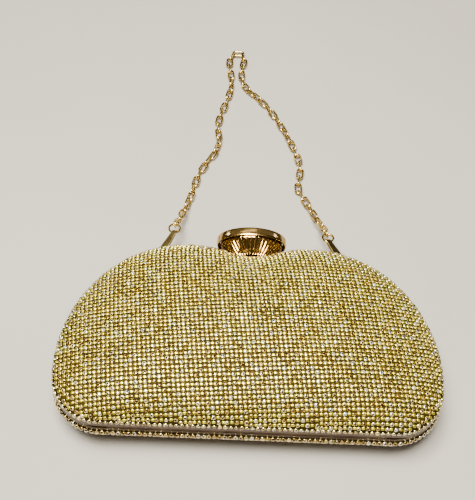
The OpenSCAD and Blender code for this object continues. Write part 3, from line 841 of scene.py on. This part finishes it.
@dataclass
class CrystalMesh:
    """One half's cloth of stones in cups and square beads, in chequer order, with a row of stones round
    its edge. It lies on a near-black backing, painted shade for the gaps, and reaches as far out as the
    CAD skin."""

    side: Side
    finishes: Finishes
    height: float
    power: float
    crown: float
    seed: int
    stone_tip: float
    skin_proud: float
    edge_rise: float
    edge_tilt: float
    kinds: tuple[float, float, float, float]
    bead_tone: Triple
    outline: ClutchOutline = ClutchOutline()
    seat_in: float = 0.0011
    backing_t: float = 0.00032
    pitch: float = 0.0024
    row_lean: float = 3.8
    column_lean: float = 7.2
    stone_r: float = 0.0012
    stone_rise: float = 0.00098
    stone_spin: float = 45.0
    cup_wall: float = 0.0001
    bead_half: tuple[float, float] = (0.00096, 0.0008)
    bead_corner: float = 0.24
    bead_rise: float = 0.00068
    bead_slip: float = 0.00012
    edge_gap: float = 0.0022
    edge_pitch: float = 0.0028
    columns: int = 58
    rows: int = 40
    backing_rings: int = 26
    backing_around: int = 220
    sides: int = 8
    crease: float = 50.0
    # Chances of painted shade, half light and a painted glint, for the crown facets and for the table
    painted_facet_light_chances: Triple = (0.18, 0.22, 0.6)
    painted_table_light_chances: Triple = (0.62, 0.22, 0.16)
    cup_tone: Triple = (0.96, 0.88, 0.38)
    light_spread: float = 0.09
    light_limits: tuple[float, float] = (0.72, 1.22)
    warm_spread: float = 0.03
    # Painted shade on the walls of beads and cups
    wall_shade: float = 0.12

    def stone(self) -> Surface:
        """A cut stone: eight sides, a sloping crown and a flat table, from its seat up.

        Returns:
            The stone, with its axis along Z.
        """
        radii = self.stone_r * np.array([0.9, 1, 0.5])
        heights = self.stone_rise * np.array([0.2, 0.66, 0.88])
        return Surface.of_rings(stacked(polygon(self.sides), radii, heights))

    def cup(self) -> Surface:
        """The cup round a stone: a closed eight-sided ring whose wall leans in at its lip.

        Returns:
            The cup, with its axis along Z.
        """
        radii = self.stone_r + self.cup_wall * np.array([1, 1, -0.3])
        heights = self.stone_rise * np.array([0, 0.42, 0.6])
        return Surface.of_rings(stacked(polygon(self.sides), radii, heights), looped=True)

    def bead(self) -> Surface:
        """A square bead with rounded corners: rings r (1 + c sin^2 2a) that close to a low top.

        Returns:
            The bead, with its axis along Z.
        """
        corner = polygon(self.sides)
        reach = 1 + self.bead_corner * (2 * corner[:, :1] * corner[:, 1:]) ** 2
        heights = self.bead_rise * np.array([0, 0.5, 0.84, 0.98])
        rings = stacked(corner * reach * self.bead_half, np.array([1, 0.98, 0.8, 0.44]), heights)
        shape = Surface.of_rings(rings)
        shape.points[-1, 2] = self.bead_rise
        return shape

    def stone_tints(self, count: int, faces: Surface, draw: np.random.Generator) -> np.ndarray:
        """Tints of the stones: clear, honey, brown or faintly blue, with painted glints and painted
        shade on their facets and tables, and painted shade on their sides.

        Args:
            count: Number of stones.
            faces: The stone's shape.
            draw: Source of chance, seeded.

        Returns:
            A tint for each face of each stone.
        """
        kind = draw.choice(4, count, p=self.kinds)
        total = len(faces.quads) + len(faces.tris)
        # Each crown facet gets painted shade, half light or a painted glint by chance
        painted_light = draw.choice(3, (count, total), p=self.painted_facet_light_chances)
        # The sides are all in painted shade
        painted_light[:, :self.sides] = 0
        # Each table gets one painted level of light too
        painted_light[:, len(faces.quads):] = draw.choice(3, (count, 1), p=self.painted_table_light_chances)
        colour = STONE_KINDS[kind][:, None] * PAINTED_FACET_LIGHT[painted_light]
        return np.concatenate([colour, np.ones((count, total, 1))], 2)

    def metal_tints(self, count: int, faces: Surface, draw: np.random.Generator,
                    tone: Triple) -> np.ndarray:
        """Tints of beads or cups: one gold each, a little lighter or more olive, with painted shade on
        their walls.

        Args:
            count: Number of beads or cups.
            faces: Their shape.
            draw: Source of chance, seeded.
            tone: Colour of the plating.

        Returns:
            A tint for each face of each bead or cup.
        """
        light = draw.normal(1.0, self.light_spread, (count, 1, 1)).clip(*self.light_limits)
        warm = draw.normal(0.0, self.warm_spread, (count, 1, 1)) * [1, 0, -0.3]
        total = len(faces.quads) + len(faces.tris)
        # The first faces, the walls, get painted shade
        shade = np.where(np.arange(total) < self.sides, self.wall_shade, 1.0)[:, None]
        colour = ((np.array(tone) * light + warm) * shade).clip(0, 1)
        return np.concatenate([colour, np.ones((count, total, 1))], 2)

    def eased(self, places: Places, edge: Places) -> tuple[Places, np.ndarray]:
        """Eases the last two rows towards the edge row, by a half and a quarter of the room that
        is left, so that no wide gap stays beside it.

        Args:
            places: Places of the net.
            edge: Places of the edge row.

        Returns:
            The places, and a mask of those that have room beside the edge row.
        """
        room = np.full(len(places.at), -1.0)
        toward = np.zeros_like(places.at)
        inside = np.flatnonzero(places.at[:, 2] > self.edge_rise)
        gaps = edge.at[None] - places.at[inside][:, None]
        closest = np.linalg.norm(gaps, axis=2).argmin(1)
        gap = gaps[np.arange(len(inside)), closest]
        room[inside] = np.linalg.norm(gap, axis=1) - self.edge_gap
        toward[inside] = unit(gap)
        row, rest = np.divmod(room, self.pitch)
        ease = np.select([row == 0, row == 1], [0.5, 0.25], 0.0) * rest
        at = places.at + toward * ease[:, None]
        return Places(at, places.along, places.across, places.out), room > 0

    def build(self) -> list[Piece]:
        """Builds the backing, stones, cups and beads, and puts them in place of the CAD skin.

        Returns:
            The pieces.
        """
        draw = np.random.default_rng(self.seed)
        seat = Dome(self.outline, self.skin_proud - self.seat_in, self.height - self.seat_in,
                    self.power, self.crown)
        net = seat.drape(self.pitch, self.columns, self.rows, self.row_lean, self.column_lean)
        places, even = seat.knots(net)
        edge_count = round(runs(self.outline.points(seat.offset))[-1] / self.edge_pitch)
        edge = seat.rim(self.edge_rise, edge_count, self.edge_tilt)
        places, kept = self.eased(places, edge)
        stones = places.chosen(kept & even).joined(edge)
        stones = stones.askew(draw, self.stone_tip, math.radians(self.stone_spin))
        beads = places.chosen(kept & ~even).slid(self.bead_slip)
        log.info("%s mesh: %d stones, %d beads", self.side.half, len(stones.at), len(beads.at))

        stone, cup, bead = self.stone(), self.cup(), self.bead()
        # The stones' colours, with painted glints and painted shade on their facets
        kinds_and_painted_glints = self.stone_tints(len(stones.at), stone, draw)
        cup_tints = self.metal_tints(len(stones.at), cup, draw, self.cup_tone)
        bead_tints = self.metal_tints(len(beads.at), bead, draw, self.bead_tone)
        parts = (
            ("stones", stone.stamped(stones, kinds_and_painted_glints), None, self.finishes.crystal),
            ("cups", cup.stamped(stones, cup_tints), self.crease, self.finishes.cup),
            ("beads", bead.stamped(beads, bead_tints), self.crease, self.finishes.bead),
            ("backing", seat.skin(self.backing_t, self.backing_rings, self.backing_around),
             self.crease, self.finishes.backing))
        half, pieces = self.side.half, []
        for part, shape, crease, finish in parts:
            piece = self.side.placed(shape).to_object(f"{half}_mesh_{part}", crease)
            pieces.append(stand_in(piece, finish, self.side.body,
                                   f"{half}_crystal_mesh"))
        return pieces


# Lining


@dataclass
class SatinLining:
    """One half's satin, drawn over the inside of its shell and gathered along the frame."""

    side: Side
    finishes: Finishes
    height: float
    power: float
    crown: float
    outline: ClutchOutline = ClutchOutline()
    inset: float = 0.00175
    thick: float = 0.0005
    gathers: int = 87
    gather_depth: float = 0.0007
    gather_power: float = 0.8
    gather_waves: tuple[tuple[float, int], ...] = ((0.3, 7), (0.2, 19))
    fade_power: float = 2.0
    fade_waves: tuple[tuple[float, int], ...] = ((0.6, 13), (0.4, 31))
    rings: int = 30
    around: int = 1392
    cut: tuple[float, float] = (0.24, 0.15)
    crease: float = 60.0

    def waved(self, waves: tuple[tuple[float, int], ...]) -> np.ndarray:
        """Sum of waves round the rim, each given as its height and its number of crests."""
        return sum(height * np.sin(crests * turns(self.around)) for height, crests in waves)

    def gathered(self, dome: Dome) -> np.ndarray:
        """A dome's face raised into gathers, which fade from the rim to the crown.

        A gather stands ((1 + cos p) / 2)^0.8 inwards, where p runs once round for each gather, a
        little unevenly, and its height shrinks as (1 - k)^e while k goes from the rim to the
        crown. The power e waves from 1 to 3 round the rim, so that some gathers run further.

        Args:
            dome: The dome that the satin's inner face follows.

        Returns:
            Points as (rings, around, 3).
        """
        face = dome.face(self.rings, self.around)
        phase = self.gathers * turns(self.around) + 2 * np.pi * self.waved(self.gather_waves)
        power = self.fade_power + self.waved(self.fade_waves)
        fade = (1 - np.linspace(0, 1, self.rings))[:, None] ** power
        depth = self.gather_depth * fade * ((1 + np.cos(phase)) / 2) ** self.gather_power
        return face - unit(dome.slope(face)) * depth[..., None]

    def build(self) -> list[Piece]:
        """Builds the lining as a closed sheet in place of the CAD one.

        Returns:
            The piece.
        """
        half = self.side.half
        dome = Dome(self.outline, -self.inset, self.height, self.power, self.crown)
        inner = self.gathered(dome.drawn_in(self.thick))
        shape = Surface.of_rings(np.concatenate([inner[::-1], dome.face(self.rings, self.around)]))
        piece = self.side.placed(shape).to_object(f"{half}_lining_satin", self.crease)
        stand_in(piece, self.finishes.lining, self.side.body, f"{half}_lining")
        return [piece]


# Knob


@dataclass
class KnobClasp:
    """The oval knob: a polished rim, a fluted cup under it and a low cap that closes its top.
    Its axis runs along Y from the dip of the frame."""

    finishes: Finishes
    width: float = 0.0412
    depth: float = 0.0274
    rim_h: float = 0.0054
    rim_wall: float = 0.0022
    cone_h: float = 0.0089
    neck: float = 0.0018
    wall: float = 0.001
    foot_in: float = 0.0107
    rest_gap: float = 0.0003
    flutes: int = 36
    flute_depth: float = 0.0006
    flute_power: float = 0.8
    flute_points: int = 8
    flare_rings: int = 18
    flare_heights: tuple[float, ...] = (0, 0.08, 0.26, 0.52, 0.78, 0.96, 1)
    flare_insets: tuple[float, ...] = (1, 0.93, 0.72, 0.46, 0.2, 0.02, 0)
    plain_points: int = 160
    inner_foot: float = 0.0016
    cap_rise: float = 0.0024
    cap_gap: float = 0.0002
    cap_skirt: float = 0.0016
    cap_turn: float = 86.0
    cap_rings: int = 14
    rim_crease: float = 60.0
    cone_crease: float = 35.0
    cap_crease: float = 40.0
    foot_y: float = 0.0510013

    def ring(self, inset: np.ndarray, rise: np.ndarray, count: int,
             cut: np.ndarray | float = 0.0) -> np.ndarray:
        """Oval rings: half width and half depth, both drawn in by the inset and the cut.

        Args:
            inset: Distance of each ring from the knob's edge.
            rise: Height of each ring over the foot.
            count: Points of each ring.
            cut: Further inset of each ring's points.

        Returns:
            Points as (ring, point, 3), with the knob's axis along Y.
        """
        a = turns(count)
        drawn = inset[:, None] + cut
        x = (self.width / 2 - drawn) * np.cos(a)
        y = (self.depth / 2 - drawn * self.depth / self.width) * np.sin(a)
        z = np.broadcast_to(rise[:, None], x.shape)
        return np.stack([x, z + self.foot_y, SEAM_Z - y], 2)

    def rim(self) -> Surface:
        """The rim: a closed band whose section is a rounded bar with a groove inside its lower lip.

        Returns:
            The rim.
        """
        section = rounded(np.array([[1, 0.3], [0.62, 0.26], [0.5, 0], [0.2, 0.02], [0, 0.28],
                                    [0, 0.84], [0.12, 0.97], [0.4, 1], [1, 1]]), 3)
        rings = self.ring(section[:, 0] * self.rim_wall, self.cone_h + section[:, 1] * self.rim_h,
                          self.plain_points)
        return Surface.of_rings(rings, looped=True)

    def cone(self) -> Surface:
        """The cup: it flares from the foot as a hollow curve, and its flutes are rounded grooves
        |sin(n a / 2)|^0.8 deep that run out at the rim. A plain wall inside closes it.

        Returns:
            The cup.
        """
        inside = self.rim_wall + self.rest_gap
        t = np.linspace(0, 1, self.flare_rings)
        shares = np.interp(t, self.flare_heights, self.flare_insets)
        fade = np.clip((1 - t) * 8, 0, 1) * np.clip(t * 10 + 0.3, 0, 1)
        count = self.flutes * self.flute_points
        groove = 1 - np.abs(np.sin(self.flutes * turns(count) / 2)) ** self.flute_power
        flare = self.ring(inside + (self.foot_in - inside) * shares, self.cone_h * t, count,
                          self.flute_depth * fade[:, None] * groove)
        lip = self.cone_h + self.neck
        inset = np.array([inside, inside + self.wall, inside + self.wall, self.foot_in + self.wall / 2])
        neck = self.ring(inset, np.array([lip, lip, self.cone_h, self.inner_foot]), count)
        return Surface.of_rings(np.concatenate([flare, neck]))

    def cap(self) -> Surface:
        """The cap: a low dome, rise sin(a), with a short skirt down into the rim.

        Returns:
            The cap.
        """
        edge = self.rim_wall + self.cap_gap
        seat = self.cone_h + self.rim_h
        half = self.width / 2 - edge
        a = np.radians(np.linspace(0, self.cap_turn, self.cap_rings))
        inset = np.r_[edge + half / 2, edge + self.wall, edge + self.wall, edge,
                      edge + half * (1 - np.cos(a))]
        rise = np.r_[seat + self.cap_rise / 2, seat, seat - self.cap_skirt, seat - self.cap_skirt,
                     seat + self.cap_rise * np.sin(a)]
        return Surface.of_rings(self.ring(inset, rise, self.plain_points))

    def build(self) -> list[Piece]:
        """Builds the knob's three pieces and dresses its stem.

        Returns:
            The pieces and the stem.
        """
        gold = self.finishes.mirror_gold
        parts = (
            ("rim", self.rim(), self.rim_crease, gold),
            ("cone", self.cone(), self.cone_crease, self.finishes.flute_gold),
            ("cap", self.cap(), self.cap_crease, gold))
        pieces = [stand_in(shape.to_object(f"knob_{part}_gold", crease), finish, "clasp",
                           f"knob_{part}") for part, shape, crease, finish in parts]
        return pieces + [dress(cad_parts["knob_stem"], gold)]


# Pieces kept from the CAD


@dataclass
class FramesAndHinge:
    """The two satin bands, their hinge, the shells and the clasp's inside, as the CAD has them."""

    finishes: Finishes

    def build(self) -> list[Piece]:
        """Dresses each kept node in the finish of its metal.

        Returns:
            The nodes.
        """
        f = self.finishes
        wear = {
            f.satin_band: ("rear_frame", "front_frame", "rear_hinge_knuckles", "front_hinge_knuckles"),
            f.sheet: ("rear_shell", "front_shell"),
            f.steel: ("hinge_pin", "clasp_bracket", "clasp_pin", "clasp_spring", "catch_plate",
                      "latch_lever"),
            f.chain_gold: ("clasp_bracket_rivets", "catch_plate_rivets"),
        }
        return [dress(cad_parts[name], material) for material, names in wear.items()
                for name in names]


@dataclass
class ChainHandle:
    """The lugs, folded bails, jump rings and cable links, as the CAD has them."""

    finishes: Finishes
    names: tuple[str, ...] = ("lug_left", "lug_right", "bail_left", "bail_right", "bail_pins",
                              "jump_ring_left", "jump_ring_right", "chain_links_left",
                              "chain_top_link", "chain_links_right")

    def build(self) -> list[Piece]:
        """Dresses each kept node in the chain's gold, and hands them back."""
        return [dress(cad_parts[name], self.finishes.chain_gold) for name in self.names]


# Stage


@dataclass
class PhotoCamera:
    """The camera where the photograph was taken from, worked out from the clutch's known edges."""

    target: Triple = (-0.00818, 0.0579, 0.02467)
    elevation: float = 57.07
    azimuth: float = -1.03
    roll: float = 3.29
    distance: float = 0.50781
    focal_pixels: float = 859.26
    frame_pixels: float = 500.0
    sensor: float = 36.0
    near: float = 0.01

    def build(self) -> None:
        """Makes the camera and hands it to the scene."""
        el, az, roll = (math.radians(v) for v in (self.elevation, self.azimuth, self.roll))
        back = Vector((math.cos(el) * math.sin(az), -math.cos(el) * math.cos(az), math.sin(el)))
        level = Vector((math.cos(az), math.sin(az), 0))
        upright = back.cross(level)
        right = math.cos(roll) * level + math.sin(roll) * upright
        up = math.cos(roll) * upright - math.sin(roll) * level
        data = bpy.data.cameras.new("photo_camera")
        data.lens = self.focal_pixels * self.sensor / self.frame_pixels
        data.sensor_width = self.sensor
        data.clip_start = self.near
        camera = bpy.data.objects.new("photo_camera", data)
        place = Vector(self.target) + self.distance * back
        turn = Matrix((right, up, back)).transposed().to_4x4()
        camera.matrix_world = Matrix.Translation(place) @ turn
        bpy.context.scene.collection.objects.link(camera)
        bpy.context.scene.camera = camera


@dataclass
class Studio:
    """A plain pale floor under soft light: a strong panel overhead, and weak ones round it."""

    finishes: Finishes
    floor_half: float = 1.6
    floor_cells: int = 4
    aim: Triple = (0.0, 0.02, 0.02)
    panels: tuple[tuple, ...] = (
        ("panel_above", (-0.11, -0.06, 0.94), (0.46, 0.4), 44.0, (1.0, 0.955, 0.82)),
        ("panel_back", (0.0, 0.65, 0.82), (1.8, 0.4), 0.4, (1.0, 0.95, 0.88)),
        ("panel_crest", (-0.1, 0.58, 0.85), (0.5, 0.07), 0.4, (1.0, 0.95, 0.88)),
        ("panel_left", (-0.5, -0.35, 0.7), (0.3, 0.3), 0.06, (1.0, 0.96, 0.9)),
        ("panel_right", (0.42, -0.4, 0.75), (0.3, 0.3), 0.12, (1.0, 0.96, 0.9)),
        ("spark_left", (-0.8, 0.56, 0.46), (0.1, 0.1), 0.7, (1.0, 0.97, 0.92)),
        ("spark_right", (0.8, 0.56, 0.46), (0.1, 0.1), 0.7, (1.0, 0.97, 0.92)),
        ("spark_front", (0.07, -0.44, 0.8), (0.07, 0.07), 0.3, (1.0, 0.98, 0.95)))
    world_light: float = 0.06
    world_tone: Triple = (1.0, 0.96, 0.9)

    def build(self) -> None:
        """Lays the floor, hangs the panels and lights the world evenly."""
        cells, across = self.floor_cells, self.floor_cells + 1
        x, y = np.meshgrid(*[np.linspace(-self.floor_half, self.floor_half, across)] * 2)
        points = np.stack([x.ravel(), y.ravel(), np.zeros(x.size)], 1)
        corner = (np.arange(cells)[:, None] * across + np.arange(cells)).reshape(-1, 1)
        quads = corner + [0, 1, across + 1, across]
        floor = Surface(points, quads, np.empty((0, 3), int)).to_object("floor")
        dress(floor, self.finishes.floor)
        for name, place, size, power, colour in self.panels:
            data = bpy.data.lights.new(name, "AREA")
            data.shape = "RECTANGLE"
            data.size, data.size_y = size
            data.energy = power
            data.color = colour
            panel = bpy.data.objects.new(name, data)
            panel.location = place
            way = Vector(self.aim) - Vector(place)
            panel.rotation_euler = way.to_track_quat("-Z", "Y").to_euler()
            bpy.context.scene.collection.objects.link(panel)
        world = bpy.data.worlds.new("soft_room")
        world.use_nodes = True
        ground = next(n for n in world.node_tree.nodes if n.type == "BACKGROUND")
        ground.inputs["Color"].default_value = (*self.world_tone, 1)
        ground.inputs["Strength"].default_value = self.world_light
        bpy.context.scene.world = world


def main() -> None:
    """Builds the clutch's parts in order, then the stage."""
    logging.basicConfig(level=logging.INFO, format="%(name)s: %(message)s", stream=sys.stdout)
    PhotoCamera().build()
    finishes = Finishes()
    parts = (
        FramesAndHinge(finishes),
        CrystalMesh(Side.FRONT, finishes, height=0.0195, power=1.95, crown=0.12, seed=11,
                    stone_tip=0.15, skin_proud=0.0009, edge_rise=0.0012, edge_tilt=0.0,
                    kinds=(0.32, 0.4, 0.25, 0.03), bead_tone=(0.97, 0.84, 0.08)),
        # The rear half's stones lean to brown and its beads to a warmer, darker gold: painted shade, as
        # the rear strip lies in the frames' shadow
        CrystalMesh(Side.REAR, finishes, height=0.02, power=2.25, crown=0.3, seed=23,
                    stone_tip=0.08, skin_proud=0.0017, edge_rise=0.0006, edge_tilt=0.8,
                    kinds=(0.2, 0.34, 0.44, 0.02), bead_tone=(0.95, 0.68, 0.22)),
        SatinLining(Side.FRONT, finishes, height=0.01685, power=1.95, crown=0.12),
        SatinLining(Side.REAR, finishes, height=0.01735, power=2.25, crown=0.3),
        KnobClasp(finishes),
        ChainHandle(finishes))
    for part in parts:
        for piece in part.build():
            log.info("%s: %s", type(part).__name__, piece.name)
    Studio(finishes).build()


if __name__ == "__main__":
    main()
